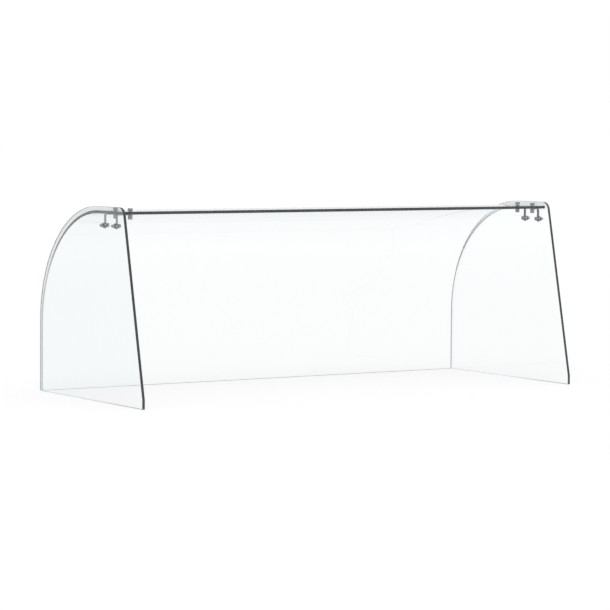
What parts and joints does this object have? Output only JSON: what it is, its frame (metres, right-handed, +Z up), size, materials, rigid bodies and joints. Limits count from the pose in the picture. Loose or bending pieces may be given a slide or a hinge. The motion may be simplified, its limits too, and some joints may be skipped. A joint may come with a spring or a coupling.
{
  "type": "sneeze guard",
  "caption": "Clear counter-top sneeze guard: a bent glass sheet hung between two upright D-shaped glass side panels by small screwed angle clamps, open on the staff side.",
  "frame": {"origin": "on the counter, at the middle of the guard's footprint", "axes": "+X along the counter, +Y from the staff's side to the customers' side, +Z up"},
  "size_m": [1.104, 0.44, 0.4],
  "materials": {
    "glass": "clear toughened float glass with polished arrises and green-tinted edges",
    "clear_plastic": "clear moulded plastic bushes and pads",
    "brushed_steel": "fine brushed stainless steel",
    "polished_steel": "turned and polished stainless steel"
  },
  "bodies": {
    "frame": {"bent_glass": "glass", "side_glass_left": "glass", "side_glass_right": "glass", "top_screw_left_rear": "polished_steel", "top_screw_left_front": "polished_steel", "top_screw_right_rear": "polished_steel", "top_screw_right_front": "polished_steel", "top_bush_left_rear": "clear_plastic", "top_bush_left_front": "clear_plastic", "top_bush_right_rear": "clear_plastic", "top_bush_right_front": "clear_plastic", "under_pad_left_rear": "clear_plastic", "under_pad_left_front": "clear_plastic", "under_pad_right_rear": "clear_plastic", "under_pad_right_front": "clear_plastic", "bracket_left_rear": "brushed_steel", "bracket_left_front": "brushed_steel", "bracket_right_rear": "brushed_steel", "bracket_right_front": "brushed_steel", "cap_nut_left_rear": "polished_steel", "cap_nut_left_front": "polished_steel", "cap_nut_right_rear": "polished_steel", "cap_nut_right_front": "polished_steel", "side_bush_left_rear": "clear_plastic", "side_bush_left_front": "clear_plastic", "side_bush_right_rear": "clear_plastic", "side_bush_right_front": "clear_plastic", "side_pad_left_rear": "clear_plastic", "side_pad_left_front": "clear_plastic", "side_pad_right_rear": "clear_plastic", "side_pad_right_front": "clear_plastic"},
    "nut_washer_left_rear": {"top_washer_left_rear": "brushed_steel"},
    "nut_left_rear": {"thumb_nut_left_rear": "polished_steel"},
    "screw_washer_left_rear": {"side_washer_left_rear": "brushed_steel"},
    "screw_left_rear": {"thumb_screw_left_rear": "polished_steel"},
    "nut_washer_left_front": {"top_washer_left_front": "brushed_steel"},
    "nut_left_front": {"thumb_nut_left_front": "polished_steel"},
    "screw_washer_left_front": {"side_washer_left_front": "brushed_steel"},
    "screw_left_front": {"thumb_screw_left_front": "polished_steel"},
    "nut_washer_right_rear": {"top_washer_right_rear": "brushed_steel"},
    "nut_right_rear": {"thumb_nut_right_rear": "polished_steel"},
    "screw_washer_right_rear": {"side_washer_right_rear": "brushed_steel"},
    "screw_right_rear": {"thumb_screw_right_rear": "polished_steel"},
    "nut_washer_right_front": {"top_washer_right_front": "brushed_steel"},
    "nut_right_front": {"thumb_nut_right_front": "polished_steel"},
    "screw_washer_right_front": {"side_washer_right_front": "brushed_steel"},
    "screw_right_front": {"thumb_screw_right_front": "polished_steel"}
  },
  "joints": [
    {"name": "nut_travel_left_rear", "type": "slide", "parent": "frame", "child": "nut_washer_left_rear", "axis": [0, 0, -1], "range_m": [0, 0.0035]},
    {"name": "nut_turn_left_rear", "type": "hinge", "parent": "nut_washer_left_rear", "child": "nut_left_rear", "pos_m": [-0.5125, -0.115, 0.379], "axis": [0, 0, -1], "range_deg": [0, 1800]},
    {"name": "screw_travel_left_rear", "type": "slide", "parent": "frame", "child": "screw_washer_left_rear", "axis": [1, 0, 0], "range_m": [0, 0.0035]},
    {"name": "screw_turn_left_rear", "type": "hinge", "parent": "screw_washer_left_rear", "child": "screw_left_rear", "pos_m": [-0.5307, -0.107, 0.362], "axis": [1, 0, 0], "range_deg": [0, 1800]},
    {"name": "nut_travel_left_front", "type": "slide", "parent": "frame", "child": "nut_washer_left_front", "axis": [0, 0, -1], "range_m": [0, 0.0035]},
    {"name": "nut_turn_left_front", "type": "hinge", "parent": "nut_washer_left_front", "child": "nut_left_front", "pos_m": [-0.5125, -0.061, 0.379], "axis": [0, 0, -1], "range_deg": [0, 1800]},
    {"name": "screw_travel_left_front", "type": "slide", "parent": "frame", "child": "screw_washer_left_front", "axis": [1, 0, 0], "range_m": [0, 0.0035]},
    {"name": "screw_turn_left_front", "type": "hinge", "parent": "screw_washer_left_front", "child": "screw_left_front", "pos_m": [-0.5307, -0.059, 0.362], "axis": [1, 0, 0], "range_deg": [0, 1800]},
    {"name": "nut_travel_right_rear", "type": "slide", "parent": "frame", "child": "nut_washer_right_rear", "axis": [0, 0, -1], "range_m": [0, 0.0035]},
    {"name": "nut_turn_right_rear", "type": "hinge", "parent": "nut_washer_right_rear", "child": "nut_right_rear", "pos_m": [0.5125, -0.115, 0.379], "axis": [0, 0, -1], "range_deg": [0, 1800]},
    {"name": "screw_travel_right_rear", "type": "slide", "parent": "frame", "child": "screw_washer_right_rear", "axis": [-1, 0, 0], "range_m": [0, 0.0035]},
    {"name": "screw_turn_right_rear", "type": "hinge", "parent": "screw_washer_right_rear", "child": "screw_right_rear", "pos_m": [0.5307, -0.107, 0.362], "axis": [-1, 0, 0], "range_deg": [0, 1800]},
    {"name": "nut_travel_right_front", "type": "slide", "parent": "frame", "child": "nut_washer_right_front", "axis": [0, 0, -1], "range_m": [0, 0.0035]},
    {"name": "nut_turn_right_front", "type": "hinge", "parent": "nut_washer_right_front", "child": "nut_right_front", "pos_m": [0.5125, -0.061, 0.379], "axis": [0, 0, -1], "range_deg": [0, 1800]},
    {"name": "screw_travel_right_front", "type": "slide", "parent": "frame", "child": "screw_washer_right_front", "axis": [-1, 0, 0], "range_m": [0, 0.0035]},
    {"name": "screw_turn_right_front", "type": "hinge", "parent": "screw_washer_right_front", "child": "screw_right_front", "pos_m": [0.5307, -0.059, 0.362], "axis": [-1, 0, 0], "range_deg": [0, 1800]}
  ],
  "couplings": [
    {"joint": "nut_turn_left_rear", "follows": "nut_travel_left_rear", "rad_per_m": 8976},
    {"joint": "screw_turn_left_rear", "follows": "screw_travel_left_rear", "rad_per_m": 8976},
    {"joint": "nut_turn_left_front", "follows": "nut_travel_left_front", "rad_per_m": 8976},
    {"joint": "screw_turn_left_front", "follows": "screw_travel_left_front", "rad_per_m": 8976},
    {"joint": "nut_turn_right_rear", "follows": "nut_travel_right_rear", "rad_per_m": 8976},
    {"joint": "screw_turn_right_rear", "follows": "screw_travel_right_rear", "rad_per_m": 8976},
    {"joint": "nut_turn_right_front", "follows": "nut_travel_right_front", "rad_per_m": 8976},
    {"joint": "screw_turn_right_front", "follows": "screw_travel_right_front", "rad_per_m": 8976}
  ]
}
